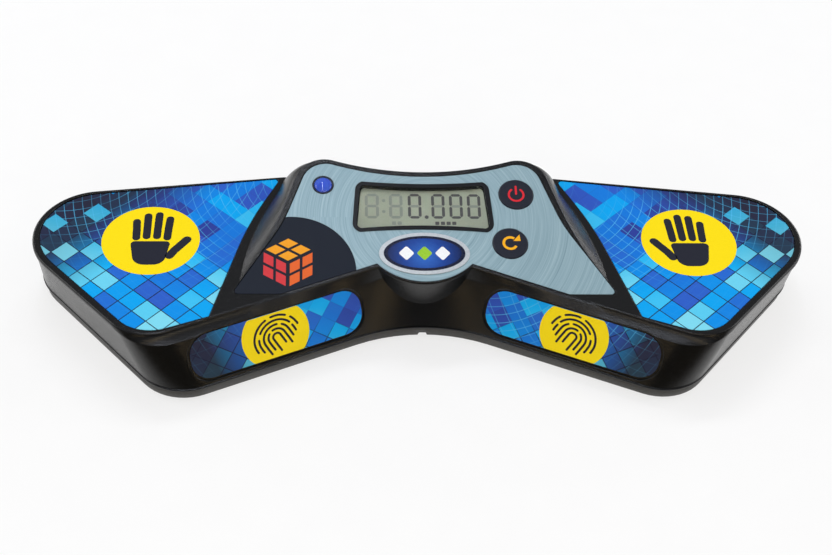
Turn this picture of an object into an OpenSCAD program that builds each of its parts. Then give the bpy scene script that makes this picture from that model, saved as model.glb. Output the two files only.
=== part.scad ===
// Bench timer for cube solving: two swept wings with hand and finger pads
// and a raised, tilted console with a digital display between them.
// Origin: middle of the footprint on the resting plane. X right, Y back, Z up.

/* [Body] */
// overall width over the rims of the two wings
body_w = 286.4; // [262:1:330]
// height of the hand labels above the resting plane
pad_h = 27; // [26:0.5:32]
// height of the lower housing band
band_h = 4.8; // [4.2:0.1:6]
// wall thickness of both housings
wall = 2.2; // [1.8:0.1:2.6]
// sweep of the front walls in plan, degrees
front_sweep = 23.7; // [22:0.1:25]
// radius of the rounded wing ends
wing_r = 23.9; // [20:0.1:27]
// radius of the front corners of the wings
corner_r = 17.5; // [13:0.1:20]
// width of the groove between the two housings
groove = 0.4; // [0.2:0.05:0.8]

/* [Console] */
// tilt of the console face towards the user, degrees
face_tilt = 14.5; // [12:0.1:17]
// height of the face above the hand labels, on the line of the hand discs
face_rise = 7.5; // [7:0.1:10]
// radius of the round nose
nose_r = 24.9; // [23:0.1:27]
// thickness of the face plate
plate_t = 0.5; // [0.4:0.05:0.8]
// depth of the face plate pocket
plate_pocket = 0.7; // [0.6:0.05:1.0]

/* [Display] */
// width of the display frame
lcd_w = 51; // [46:0.5:53]
// height of the display frame along the face
lcd_h = 22.6; // [20:0.2:23]
// width of the display frame's border
lcd_border = 1.7; // [1.2:0.1:2.2]
// thickness of the display glass
lcd_t = 2.8; // [2:0.1:3.2]

/* [Controls] */
// radius of the two round buttons
button_r = 6.56; // [5:0.1:6.8]
// travel of a button
button_travel = 0.8; // [0.4:0.1:0.8]
// radius of the indicator lens
lens_r = 3.3; // [2.5:0.1:4]
// radial play of a button in its hole
button_play = 0.08; // [0.05:0.01:0.1]

/* [Pads] */
// distance of the middle of a hand disc from the middle of the timer
disc_x = 100; // [96:0.5:106]
// radius of the yellow disc on a hand label
disc_r = 17.9; // [14:0.1:19]
// length of a finger label
finger_len = 65.5; // [55:0.5:67]
// height of a finger label up the front wall
finger_h = 17.4; // [14:0.2:17.6]
// thickness of the printed labels
label_t = 0.3; // [0.2:0.05:0.4]

/* [Power] */
// diameter of a battery cell
cell_d = 10.5; // [10:0.1:10.8]
// length of a battery cell
cell_len = 44.5; // [42:0.5:46]
// radius of the hole in the data jack
jack_hole_r = 1.8; // [1.3:0.05:2]

/* [Base] */
// radius of a rubber foot
foot_r = 5; // [3.5:0.5:5.5]
// height of a foot below the base
foot_h = 1; // [0.6:0.1:1.4]
// thread radius of the housing screws
screw_r = 1.25; // [1:0.05:1.5]

/* [Show] */
// piece to draw

/* [Hidden] */
$fn = 48;
eps = 0.01;

half = body_w/2;
dx = half - 143.2;                 // wings move out with the width
rim_z = 0.4;                       // rim stands proud of the hand labels
shoulder_z = -2.6;
base_z = foot_h - pad_h;           // underside of the base
part_z = base_z + band_h;          // parting line of the housings
y_mid = 9.866;                      // from the line of the hand discs to the middle of the depth
ct = cos(face_tilt);
face_k = tan(face_tilt);

// ---- plan outlines -------------------------------------------------
function unit(v) = v/norm(v);
function turn(a, b) = a[0]*b[1] - a[1]*b[0];
function meet(p, u, q, v) = p + u*turn(q - p, v)/turn(u, v);
function edge(V, i) = unit(V[(i + 1)%len(V)] - V[i%len(V)]);
function side(u) = [-u[1], u[0]];
// the same outline moved inwards by d
function shrink(V, d) = let(n = len(V)) [for (i = [0:n - 1])
  let(a = edge(V, i + n - 1), b = edge(V, i))
  meet(V[i] + side(a)*d, a, V[i] + side(b)*d, b)];
function shrunk_r(V, R, d) = let(n = len(V)) [for (i = [0:n - 1])
  max(0.2, R[i] - d*sign(turn(edge(V, i + n - 1), edge(V, i))))];
// corners rounded with arcs of N[i] steps
function rounded(V, R, N) = let(n = len(V)) [for (i = [0:n - 1])
  let(a = edge(V, i + n - 1), b = edge(V, i), s = sign(turn(a, b)),
      h = asin(min(1, abs(turn(a, b))))/2,
      hh = a*b < 0 ? 90 - h : h,
      c = V[i] + unit(b - a)*R[i]/cos(hh),
      st = -side(a)*s)
  for (k = [0:N[i]]) let(t = s*2*hh*k/N[i])
    c + R[i]*[st[0]*cos(t) - st[1]*sin(t), st[0]*sin(t) + st[1]*cos(t)]];
function outline(V, R, N, d = 0) = rounded(shrink(V, d), shrunk_r(V, R, d), N);
function mirrored(H) = concat(H, [for (i = [len(H) - 2:-1:1]) [-H[i][0], H[i][1]]]);
function mirrored_n(H) = concat(H, [for (i = [len(H) - 2:-1:1]) H[i]]);
function at(P, z) = [for (p = P) [p[0], p[1], z]];
function blend(P, Q, t) = [for (i = [0:len(P) - 1]) P[i]*(1 - t) + Q[i]*t];

// rings: intercept and slope of the front, end, back and rear lines
function ring_v(f0, fa, e0, ea, b0, r0) =
  let(F = [0, f0], fu = [cos(fa), -sin(fa)], E = [half, e0], eu = [cos(ea), sin(ea)],
      B = [0, b0], bu = [cos(back_a), -sin(back_a)], Q = [0, r0], qu = [cos(rear_a), sin(rear_a)])
  mirrored([F, meet(F, fu, E, eu), meet(E, eu, B, bu), meet(B, bu, Q, qu), Q]);
back_a = 7.06;
rear_a = 11;
ring_n = mirrored_n([10, 10, 16, 4, 10]);
rim_v = ring_v(-6.2, front_sweep, -6.4, 47.4, 41.75, 25.4);
rim_r = mirrored_n([40, corner_r, wing_r, 10, 150]);
shoulder_v = ring_v(-10.3, front_sweep, -4.8, 48.1, 41.3, 25.1);
shoulder_r = mirrored_n([45, corner_r + 1, wing_r - 1.1, 10, 150]);
foot_v = ring_v(-18.7, front_sweep, 0.23, 48.7, 40.9, 24.8);
foot_r2 = mirrored_n([59.8, corner_r + 2, wing_r - 4.5, 10, 150]);
function rim(d = 0) = outline(rim_v, rim_r, ring_n, d);
function shoulder(d = 0) = outline(shoulder_v, shoulder_r, ring_n, d);
function skirt(d = 0) = outline(foot_v, foot_r2, ring_n, d);
function wall_ring(z, d = 0) =
  blend(shoulder(d), skirt(d), (shoulder_z - z)/(shoulder_z - part_z));

// a closed solid through rings of equal count, bottom ring first
module rings(L) {
  m = len(L);
  n = len(L[0]);
  polyhedron(
    points = [for (P = L) for (p = P) p],
    faces = concat(
      [[for (i = [0:n - 1]) i]],
      [[for (i = [n - 1:-1:0]) (m - 1)*n + i]],
      [for (j = [0:m - 2]) for (i = [0:n - 1]) [j*n + i, (j + 1)*n + i, j*n + (i + 1)%n]],
      [for (j = [0:m - 2]) for (i = [0:n - 1])
        [j*n + (i + 1)%n, (j + 1)*n + i, (j + 1)*n + (i + 1)%n]]));
}

// ---- console outlines, plan coordinates on the face ------------------
console_n = mirrored_n([6, 3, 16, 12, 12]);
top_v = mirrored([[0, -10.8], [77, -37.6], [56.66, -7.54], [43.9, 31.7], [0, 18.7]]);
top_r = mirrored_n([20, 1, 137, 11.5, 114]);
toe_v = mirrored([[0, -10.2], [76.6, -10.2 - 76.6*tan(front_sweep)], [64.45, 13.28],
  [52.6, 34.2], [0, 24]]);
toe_r = mirrored_n([20, 1, 128, 4, 150]);
function top_line(d = 0) = outline(top_v, top_r, console_n, d);
function toe_line(d = 0) = outline(toe_v, toe_r, console_n, d);
function face_z(y) = face_rise + face_k*y;
function on_face(P, drop) = [for (p = P) [p[0], p[1], face_z(p[1]) - drop]];
// plate outline, plan coordinates
plate_v = mirrored([[0, -9.05], [52, -27.55], [69.3, -27.55], [51.5, 1.04], [41.5, 28.9], [0, 16.6]]);
plate_r = mirrored_n([2, 3, 1.2, 60, 9, 112]);
plate_n = mirrored_n([4, 4, 6, 12, 12, 16]);
nose_y = 0.6;
nose_plate_r = nose_r - 1.1;
// plan coordinates to distances along the face
function along(P) = [for (p = P) [p[0], p[1]/ct]];

module place() { translate([0, y_mid, pad_h]) children(); }
module on_console() { place() translate([0, 0, face_rise]) rotate([face_tilt, 0, 0]) children(); }
// frame of a finger label: X outwards, Y up the wall, Z out of the wall
label_z = -10.8;
lean = atan((shoulder_v[0][1] - foot_v[0][1])*cos(front_sweep)/(shoulder_z - part_z));
function wall_y(x, z) = shoulder_v[0][1] - x*tan(front_sweep)
  - (shoulder_v[0][1] - foot_v[0][1])*(shoulder_z - z)/(shoulder_z - part_z);
finger_x = 52.8;
module on_front(s) {
  place() mirror([s < 0 ? 1 : 0, 0, 0])
    translate([finger_x, wall_y(finger_x, label_z), label_z])
      rotate([90 - lean, 0, -front_sweep]) children();
}
module both() { children(); mirror([1, 0, 0]) children(); }

// ---- outlines of the hand labels -------------------------------------
hand_v = [[76.9, -38.3], [rim_v[1][0] - 1.2, rim_v[1][1] + 3.4], [rim_v[2][0] - 5, rim_v[2][1] - 1.5],
  [53.5, 34.0], [64.6, 9.5]];
hand_r = [0.6, corner_r - 2.6, wing_r - 2.2, 1.2, 160];
hand_n = [3, 10, 16, 4, 12];
module hand_area(d = 0) { polygon(outline(hand_v, hand_r, hand_n, d)); }
module finger_area(d = 0) {
  l = finger_len/2 - d;
  h = finger_h/2 - d;
  r = 7.4 - d;
  polygon(rounded([[-l, -h], [l, -h], [l, h], [-l, h]], [r, r, r, r], [8, 8, 8, 8]));
}

// ---- openings of the face --------------------------------------------
lcd_dx = (lcd_w - 51)/2;           // controls move out with the display
lens_at = [-36.93 - lcd_dx, 17.58/ct];
power_at = [35.05 + lcd_dx, 13.85/ct];
reset_at = [31.65 + lcd_dx, -6.88/ct];
lcd_y = 8.45/ct;
// the frame is wider at the bottom and pinched in the middle
module lcd_area(d = 0) {
  w = lcd_w/2 - d;
  h = lcd_h/2 - d;
  pinch = 1.3;
  translate([0, lcd_y]) difference() {
    polygon(rounded([[-w - 0.9, -h], [w + 0.9, -h], [w - 0.7, h], [-w + 0.7, h]],
      [4 - d, 4 - d, 4 - d, 4 - d], [8, 8, 8, 8]));
    for (s = [-1, 1]) translate([0, s*(h - pinch + pow(w, 2)/(2*pinch) + pinch/2)])
      circle(r = pow(w, 2)/(2*pinch) + pinch/2, $fn = 360);
  }
}
module plate_area(d = 0) {
  polygon(along(outline(plate_v, plate_r, plate_n, d)));
  intersection() {
    translate([0, nose_y/ct]) circle(r = nose_plate_r - d, $fn = 96);
    translate([-nose_plate_r, -nose_plate_r]) square([2*nose_plate_r, nose_plate_r]);
  }
}

// depths below the face
ceiling = plate_pocket + wall;
board_d = 11.4;
board_t = 1.6;
stem_end = 6.4;
flange_r = button_r + 1.2;
switch_top = stem_end + button_travel + 0.1;

// ---- screws ------------------------------------------------------------
post_at = [[disc_x + dx + 29.5, 6], [disc_x + dx - 12, -38], [80 + dx, 24], [46, 27]];
front_post = [32, -17];
posts = concat(post_at, [front_post]);
board_post = [[43 + lcd_dx, 3], [13.5, -13.5]];
screw_len = 10;
head_r = 2*screw_r;
head_h = 1.4;
post_r = screw_r + 2;

module upper_housing() {
  color([0.05, 0.05, 0.055]) place() {
    difference() {
      upper_shell();
      round_openings();
    }
    both() for (p = posts) translate([p[0], p[1], 0]) screw_post(p);
    both() for (p = board_post) board_boss(p);
  }
}
// the moulded shell with its pockets, drawn as one smooth skin
module upper_shell() {
  resize([0, 0, 0]) difference() {
    union() {
      rings([at(skirt(-0.3), part_z), at(skirt(-0.3), part_z + 0.6), at(wall_ring(part_z + 0.75), part_z + 0.75),
        at(shoulder(), shoulder_z), at(rim(), -0.35), at(rim(0.2), 0.15), at(rim(0.75), rim_z)]);
      rings([at(toe_line(0.2), shoulder_z), console_ring(0.12), console_ring(0.28), console_ring(0.46),
        console_ring(0.64), console_ring(0.82), on_face(top_line(), 1.3), on_face(top_line(), 0.35),
        on_face(top_line(0.35), 0)]);
      nose_drum();
    }
    rings([at(skirt(wall), part_z - 1), at(wall_ring(part_z + 1, wall), part_z + 1),
      at(wall_ring(shoulder_z - 1.2, wall + 0.2), shoulder_z - 1.2), at(rim(wall + 0.6), rim_z - 2.4)]);
    console_cavity();
    both() translate([0, 0, -label_t]) linear_extrude(2) hand_area(-0.25);
    finger_pocket(1);
    finger_pocket(-1);
    translate([0, 0, face_rise]) rotate([face_tilt, 0, 0]) {
      translate([0, 0, -plate_pocket]) linear_extrude(3) plate_area(-0.15);
      translate([0, 0, -ceiling - 1]) linear_extrude(6) lcd_area(lcd_border - 0.6);
    }
    translate([-6, jack_wall_y, jack_z - 6]) cube([12, 10, 12]);
  }
}
function console_ring(t) = let(a = t, b = 1 - pow(1 - t, 1.7), A = toe_line(0.2), B = top_line())
  [for (i = [0:len(A) - 1]) let(p = A[i]*(1 - a) + B[i]*a)
    [p[0], p[1], shoulder_z*(1 - b) + (face_z(B[i][1]) - 1.3)*b]];
module nose_drum() {
  intersection() {
    translate([0, 0, face_rise]) rotate([face_tilt, 0, 0]) translate([0, nose_y/ct, -18.4]) {
      cylinder(r = nose_r, h = 18.1, $fn = 96);
      cylinder(r = nose_r - 0.3, h = 18.4, $fn = 96);
    }
    translate([-40, -60, -40]) cube([80, 60, 80]);
  }
}
module console_cavity() {
  translate([0, 0, face_rise]) rotate([face_tilt, 0, 0]) translate([0, 0, -ceiling - 22]) {
    linear_extrude(22) polygon(along(outline(cavity_v, cavity_r, console_n, 0)));
    intersection() {
      translate([0, nose_y/ct, 7]) cylinder(r = nose_r - 3.1, h = 15, $fn = 72);
      translate([-30, -30, 0]) cube([60, 34, 40]);
    }
  }
}
cavity_v = mirrored([[0, -6.2], [62, -27.6], [51.3 + lcd_dx, -6.2], [40.6 + lcd_dx, 28], [0, 16.4]]);
cavity_r = mirrored_n([12, 2, 120, 8, 112]);
module finger_pocket(s) {
  mirror([s < 0 ? 1 : 0, 0, 0]) translate([finger_x, wall_y(finger_x, label_z), label_z])
    rotate([90 - lean, 0, -front_sweep]) translate([0, 0, -0.8]) linear_extrude(4) finger_area(-0.8);
}
module round_openings() {
  translate([0, 0, face_rise]) rotate([face_tilt, 0, 0]) {
    for (p = [power_at, reset_at]) translate([p[0], p[1], -ceiling - 1]) cylinder(r = button_r + button_play, h = 6);
    translate([lens_at[0], lens_at[1], -ceiling - 1]) cylinder(r = lens_r + 0.1, h = 6);
  }
  translate([0, jack_wall_y - 6, jack_z]) rotate([-90, 0, 0]) cylinder(r = jack_r + 0.1, h = 12);
}
module screw_post(p) {
  top = p[1] < -20 || abs(p[0]) > 60 ? rim_z - 2.2 : min(face_z(p[1]) - ceiling + 1.1, 0);
  h = top - part_z + groove;
  translate([0, 0, top - h]) difference() {
    cylinder(r = post_r, h = h);
    translate([0, 0, -eps]) cylinder(r = screw_r*0.85, h = screw_len);
  }
}
module board_boss(p) {
  translate([0, 0, face_rise]) rotate([face_tilt, 0, 0]) translate([p[0], p[1], -board_d])
    difference() {
      cylinder(r = 2.6, h = board_d - ceiling + 0.3);
      translate([0, 0, -eps]) cylinder(r = 0.85, h = 5);
    }
}

// ---- lower housing -------------------------------------------------------
box_l = cell_len + 5.5;
box_w = 2*cell_d + 2.6;
box_y = 4;
cell_z = base_z + wall + 0.2 + cell_d/2;
box_top = cell_z + cell_d/2 + 0.4;
door_l = box_l + 5;
door_w = box_w + 4;
foot_at = [[disc_x + dx + 20, 10], [disc_x + dx - 20, -38], [68 + dx, 22]];
module lower_housing() {
  color([0.2, 0.2, 0.205]) place() difference() {
    lower_tray();
    both() for (p = posts) translate([p[0], p[1], base_z - eps]) {
      cylinder(r = screw_r + 0.25, h = 20);
      cylinder(r = head_r + 0.3, h = head_h + 0.4);
    }
    both() for (p = foot_at) translate([p[0], p[1], base_z - eps]) cylinder(r = foot_r + 0.1, h = 0.6);
  }
}
// the moulded tray with its battery box, screw bosses and tongue, drawn as one skin
tongue_gap = 0.35;
tongue_t = 1.2;
module lower_tray() {
  resize([0, 0, 0]) difference() {
    union() {
      difference() {
        rings([at(skirt(1.1), base_z), at(skirt(0.7), base_z + 0.4), at(skirt(0.25), part_z - groove)]);
        difference() {
          rings([at(skirt(wall + 0.9), base_z + wall), at(skirt(wall + 0.35), part_z + 3)]);
          translate([-box_l/2 - 1.4, box_y - box_w/2 - 1.4, base_z]) cube([box_l + 2.8, box_w + 2.8, 40]);
        }
      }
      translate([-box_l/2 - 1.4, box_y - box_w/2 - 1.4, base_z + 1])
        cube([box_l + 2.8, box_w + 2.8, box_top + 1.2 - base_z - 1]);
      difference() {
        rings(tongue_rings(0));
        rings(tongue_rings(tongue_t));
        for (p = posts) for (s = [-1, 1]) translate([s*p[0], p[1], part_z - groove]) cylinder(r = post_r + 0.3, h = 5);
      }
      both() for (p = posts) translate([p[0], p[1], base_z + 1])
        cylinder(r = head_r + 1.6, h = part_z - groove - base_z - 1);
    }
    translate([-box_l/2, box_y - box_w/2, base_z + wall]) cube([box_l, box_w, box_top - base_z - wall]);
    translate([-door_l/2 - 0.15, box_y - door_w/2 - 0.15, base_z - 1]) cube([door_l + 0.3, door_w + 0.3, 2.2]);
    translate([-box_l/2, box_y - box_w/2, base_z - 1]) cube([box_l, box_w, 8]);
    // notch in the middle of the front edge
    translate([0, -10, base_z]) rotate([90, 0, 0]) linear_extrude(30)
      polygon([[-2.3, -1], [2.3, -1], [1.25, 1.75], [-1.25, 1.75]]);
  }
}
// outer line of the tongue that stands inside the upper housing, set in by d
function tongue_rings(d) = let(e = d > 0 ? 1 : 0, g = wall + tongue_gap + d)
  [at(skirt(g + 0.05), base_z + wall - e), at(skirt(g + 0.1), part_z),
    at(wall_ring(part_z + 1.2, g), part_z + 1.2 + 0.5*e)];
module battery_door() {
  color([0.2, 0.2, 0.205]) place() difference() {
    union() {
      translate([-door_l/2, box_y - door_w/2, base_z]) cube([door_l, door_w, 1.15]);
      translate([-box_l/2 + 0.2, box_y - box_w/2 + 0.2, base_z + 1]) cube([box_l - 0.4, box_w - 0.4, 1.1]);
    }
    for (i = [-2:2]) translate([door_l/2 - 8 + i*1.6, box_y - 7, base_z - 0.5]) cube([0.8, 14, 0.9]);
  }
}
module batteries() {
  color([0.15, 0.35, 0.2]) place() for (s = [-1, 1]) translate([-s*0.2, box_y + s*(cell_d/2 + 0.15), cell_z])
    rotate([0, s*90, 0]) {
      translate([0, 0, -cell_len/2]) cylinder(r = cell_d/2, h = cell_len - 0.9);
      cylinder(r = 1.9, h = cell_len/2);
    }
}
contact_t = 0.4;
module battery_contacts() {
  color([0.8, 0.8, 0.82]) place() for (e = [-1, 1]) {
    translate([e*(box_l/2 - contact_t/2 - 0.02), box_y, cell_z]) {
      cube([contact_t, box_w - 1, cell_d - 2], center = true);
      // sprung cone against the flat end of a cell
      translate([-e*contact_t/2, -e*(cell_d/2 + 0.15), 0]) rotate([0, -e*90, 0])
        cylinder(r1 = 3.6, r2 = 1.5, h = (box_l - cell_len)/2 - contact_t - 0.4);
      translate([-e*contact_t/2, e*(cell_d/2 + 0.15), 0]) rotate([0, -e*90, 0])
        cylinder(r = 2.4, h = (box_l - cell_len)/2 - contact_t - 0.1);
    }
  }
}
module rubber_feet() {
  color([0.08, 0.08, 0.08]) place() both() for (p = foot_at) translate([p[0], p[1], base_z - foot_h]) {
    cylinder(r1 = foot_r - 0.3, r2 = foot_r, h = 0.4);
    translate([0, 0, 0.4]) cylinder(r = foot_r, h = foot_h + 0.58 - 0.4);
  }
}
module housing_screws() {
  color([0.6, 0.6, 0.62]) place() both() for (p = posts) translate([p[0], p[1], base_z + 0.35]) difference() {
    union() {
      cylinder(r = head_r, h = head_h);
      cylinder(r = screw_r*0.85, h = head_h + screw_len - 0.6);
    }
    for (a = [0, 90]) rotate(a) translate([-1.3, -0.3, -eps]) cube([2.6, 0.6, 0.8]);
  }
}

// ---- console pieces ---------------------------------------------------------
plate_d = plate_pocket;
module console_faceplate() {
  color([0.66, 0.76, 0.8]) on_console() translate([0, 0, -plate_d]) linear_extrude(plate_t) difference() {
    plate_area(0);
    lcd_area(0.5);
    for (p = [power_at, reset_at]) translate(p) circle(r = button_r + button_play);
    translate(lens_at) circle(r = lens_r + 0.1);
  }
}
bezel_top = 0.25;
module lcd_bezel() {
  color([0.07, 0.08, 0.09]) on_console() difference() {
    union() {
      translate([0, 0, plate_t - plate_d]) linear_extrude(bezel_top) lcd_area(0);
      translate([0, 0, -ceiling]) linear_extrude(ceiling - plate_d + plate_t + 0.05) lcd_area(lcd_border - 0.5);
    }
    translate([0, 0, -ceiling - 1]) linear_extrude(8) lcd_area(lcd_border + 0.2);
    translate([0, 0, window_d]) linear_extrude(8) lcd_area(lcd_border);
  }
}
window_d = -1.7;
module lcd_window() {
  color([0.85, 0.9, 0.88, 0.4]) on_console() translate([0, 0, window_d]) linear_extrude(0.6) lcd_area(lcd_border + 0.06);
}
glass_w = lcd_w + 0.4;
glass_h = lcd_h - 1.4;
glass_top = -ceiling - 0.05;
module lcd_panel() {
  color([0.62, 0.68, 0.6]) on_console() {
    translate([-glass_w/2, lcd_y - glass_h/2, glass_top - lcd_t/2]) cube([glass_w, glass_h, lcd_t/2]);
    translate([-glass_w/2, lcd_y - glass_h/2 + 2, glass_top - lcd_t]) cube([glass_w, glass_h - 2, lcd_t/2]);
  }
}
holder_t = 1.1;
module lcd_holder() {
  color([0.85, 0.85, 0.82]) on_console() difference() {
    translate([-glass_w/2 - holder_t, lcd_y - glass_h/2 - holder_t, -board_d])
      cube([glass_w + 2*holder_t, glass_h + 2*holder_t, board_d - ceiling - 0.1]);
    translate([-glass_w/2 - 0.1, lcd_y - glass_h/2 - 0.1, glass_top - lcd_t - 0.05])
      cube([glass_w + 0.2, glass_h + 0.2, 20]);
    translate([-glass_w/2 + 2, lcd_y - glass_h/2 + 5, -board_d - 1]) cube([glass_w - 4, glass_h - 7, 20]);
    translate([-zebra_l/2 - 0.15, lcd_y - glass_h/2 + 0.35, -board_d - 1]) cube([zebra_l + 0.3, 1.55, 20]);
    for (p = [power_at, reset_at]) translate([p[0], p[1], -board_d - 1]) cylinder(r = flange_r + 0.3, h = 20);
  }
}
zebra_l = glass_w - 4;
module lcd_connectors() {
  color([0.75, 0.5, 0.6]) on_console() translate([-zebra_l/2, lcd_y - glass_h/2 + 0.5, -board_d])
    cube([zebra_l, 1.25, board_d + glass_top - lcd_t/2]);
}
board_half = [[11, -16.5], [16, -12.5], [30, -13], [45 + lcd_dx, -8], [45 + lcd_dx, 6], [41.5 + lcd_dx, 20.4]];
module main_board() {
  color([0.05, 0.3, 0.12]) on_console() {
    translate([0, 0, -board_d - board_t]) linear_extrude(board_t) difference() {
      polygon(concat(board_half, [for (i = [len(board_half) - 1:-1:0]) [-board_half[i][0], board_half[i][1]]]));
      for (p = board_post, s = [-1, 1]) translate([s*p[0], p[1]]) circle(r = 1.3);
    }
    translate([-22, 0, -board_d - board_t - 1.6]) cube([12, 12, 1.6]);
    translate([4, 2, -board_d - board_t - 1.2]) cube([8, 5, 1.2]);
    translate([18, -4, -board_d - board_t - 3.2]) cube([11, 4.6, 3.2]);
  }
}
module button(p) {
  translate([p[0], p[1], 0]) {
    translate([0, 0, -ceiling - 0.1]) cylinder(r = button_r, h = ceiling + 0.2 - 0.3);
    translate([0, 0, -0.2]) cylinder(r1 = button_r, r2 = button_r - 0.35, h = 0.35);
    translate([0, 0, -ceiling - 0.9]) cylinder(r = flange_r, h = 0.8);
    translate([0, 0, -stem_end]) cylinder(r = 1.6, h = stem_end - ceiling);
  }
}
module power_button() { color([0.08, 0.09, 0.12]) on_console() button(power_at); }
module reset_button() { color([0.08, 0.09, 0.12]) on_console() button(reset_at); }
module tact_switch(p) {
  translate([p[0], p[1], -board_d]) {
    translate([-3, -3, 0]) cube([6, 6, board_d - switch_top - 0.7]);
    cylinder(r = 1.75, h = board_d - switch_top);
  }
}
module power_switch() { color([0.12, 0.12, 0.13]) on_console() tact_switch(power_at); }
module reset_switch() { color([0.12, 0.12, 0.13]) on_console() tact_switch(reset_at); }
module indicator_lens() {
  color([0.1, 0.2, 0.9]) on_console() translate([lens_at[0], lens_at[1], 0]) {
    translate([0, 0, -ceiling - 1]) cylinder(r = lens_r, h = ceiling + 1 - 0.2);
    translate([0, 0, -ceiling - 1]) cylinder(r = lens_r + 1, h = 0.9);
    translate([0, 0, -0.2]) dome(lens_r, 1.1);
  }
}
// spherical cap of base radius r and height h
module dome(r, h) {
  R = (r*r + h*h)/(2*h);
  rotate_extrude() intersection() {
    translate([0, h - R]) circle(r = R, $fn = 180);
    square([r, h]);
  }
}
module indicator_led() {
  color([0.8, 0.8, 0.9]) on_console() translate([lens_at[0], lens_at[1], -board_d]) {
    cylinder(r = 1.5, h = board_d - ceiling - 2.6);
    translate([0, 0, board_d - ceiling - 2.6]) sphere(r = 1.5);
    cylinder(r = 1.9, h = 1);
  }
}
badge_a = 16.6;
badge_b = 8.9;
module nose_badge() {
  color([0.1, 0.2, 0.5]) on_console() translate([0, -11.6, plate_t - plate_d]) linear_extrude(0.35)
    polygon([for (i = [0:71]) [badge_a*cos(5*i), badge_b*sin(5*i)]]);
}
module board_screws() {
  color([0.6, 0.6, 0.62]) on_console() both() for (p = board_post) translate([p[0], p[1], -board_d - board_t - 1.2]) {
    cylinder(r = 2, h = 1.2);
    cylinder(r = 0.85, h = 1.2 + board_t + 4);
  }
}

// ---- labels and sensors -------------------------------------------------------
module right_hand_label() { color([0.1, 0.5, 0.85]) hand_label(); }
module left_hand_label() { color([0.1, 0.5, 0.85]) mirror([1, 0, 0]) hand_label(); }
module hand_label() { place() translate([0, 0, -label_t]) linear_extrude(label_t) hand_area(0); }
module right_finger_label() { color([0.1, 0.5, 0.85]) finger_label(1); }
module left_finger_label() { color([0.1, 0.5, 0.85]) finger_label(-1); }
module finger_label(s) { on_front(s) translate([0, 0, -0.8]) linear_extrude(label_t) finger_area(0); }
module hand_sensor() {
  place() translate([disc_x + dx, -3, rim_z - 2.8]) cylinder(r = disc_r + 4, h = 0.4);
}
module right_hand_sensor() { color([0.8, 0.5, 0.3]) hand_sensor(); }
module left_hand_sensor() { color([0.8, 0.5, 0.3]) mirror([1, 0, 0]) hand_sensor(); }
module finger_sensor(s) {
  on_front(s) translate([-24, -6, -(wall + 0.2)*cos(lean) - 0.4]) cube([48, 12, 0.4]);
}
module right_finger_sensor() { color([0.8, 0.5, 0.3]) finger_sensor(1); }
module left_finger_sensor() { color([0.8, 0.5, 0.3]) finger_sensor(-1); }

// ---- data jack ------------------------------------------------------------------
jack_z = -6.6;
jack_r = 3.6;
jack_wall_y = 27.2;
jack_y = 12.5;
module data_jack() {
  color([0.1, 0.1, 0.1]) place() difference() {
    translate([0, 0, jack_z]) {
      translate([-4, jack_y, -3.5]) cube([8, 11.5, 14]);
      translate([0, jack_y, 0]) rotate([-90, 0, 0]) cylinder(r = jack_r, h = jack_wall_y - jack_y - 0.1);
    }
    translate([0, jack_y + 1.5, jack_z]) rotate([-90, 0, 0]) cylinder(r = jack_hole_r, h = 20);
    // top of the body lies flat against the underside of the board
    translate([0, 0, face_rise]) rotate([face_tilt, 0, 0]) translate([-20, 0, -board_d - board_t]) cube(40);
  }
}

upper_housing();
lower_housing();
console_faceplate();
lcd_bezel();
lcd_window();
lcd_panel();
lcd_holder();
lcd_connectors();
main_board();
power_button();
reset_button();
power_switch();
reset_switch();
indicator_lens();
indicator_led();
nose_badge();
left_hand_label();
right_hand_label();
left_finger_label();
right_finger_label();
left_hand_sensor();
right_hand_sensor();
left_finger_sensor();
right_finger_sensor();
data_jack();
battery_door();
batteries();
battery_contacts();
housing_screws();
board_screws();
rubber_feet();
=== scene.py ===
import math
from contextlib import contextmanager

import bpy
import numpy as np
from mathutils import Matrix, Vector


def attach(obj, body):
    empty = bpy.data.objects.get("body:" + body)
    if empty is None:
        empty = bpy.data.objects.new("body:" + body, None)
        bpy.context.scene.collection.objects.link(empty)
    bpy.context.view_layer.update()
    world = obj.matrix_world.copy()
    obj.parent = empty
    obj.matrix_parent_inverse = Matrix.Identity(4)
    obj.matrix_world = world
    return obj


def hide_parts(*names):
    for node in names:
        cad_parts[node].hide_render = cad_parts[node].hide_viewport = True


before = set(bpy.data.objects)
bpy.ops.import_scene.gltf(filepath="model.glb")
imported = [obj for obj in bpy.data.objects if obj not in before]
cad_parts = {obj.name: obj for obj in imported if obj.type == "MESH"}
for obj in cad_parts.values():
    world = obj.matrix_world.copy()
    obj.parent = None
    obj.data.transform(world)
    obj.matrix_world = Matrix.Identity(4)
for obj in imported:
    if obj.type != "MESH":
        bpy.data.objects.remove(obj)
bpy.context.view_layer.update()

# ---- camera and studio ----------------------------------------------------
# The timer stands on a plain white table, seen from the front and above by a
# person about to play. A key and a fill lamp light its colours without a glint, two
# thin ones draw its edges, two stand at the sides, two low behind, two small in front.
MM = 0.001


def turned_camera(yaw, pitch, roll):
    """Right, up and backward directions of a camera that looks along +Y before it is turned."""
    sy, cy, sp, cp = math.sin(yaw), math.cos(yaw), math.sin(pitch), math.cos(pitch)
    ahead = Vector((-sy * cp, cy * cp, -sp))
    right = Vector((cy, sy, 0))
    up = right.cross(ahead)
    sr, cr = math.sin(roll), math.cos(roll)
    return right * cr + up * sr, up * cr - right * sr, -ahead


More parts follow.
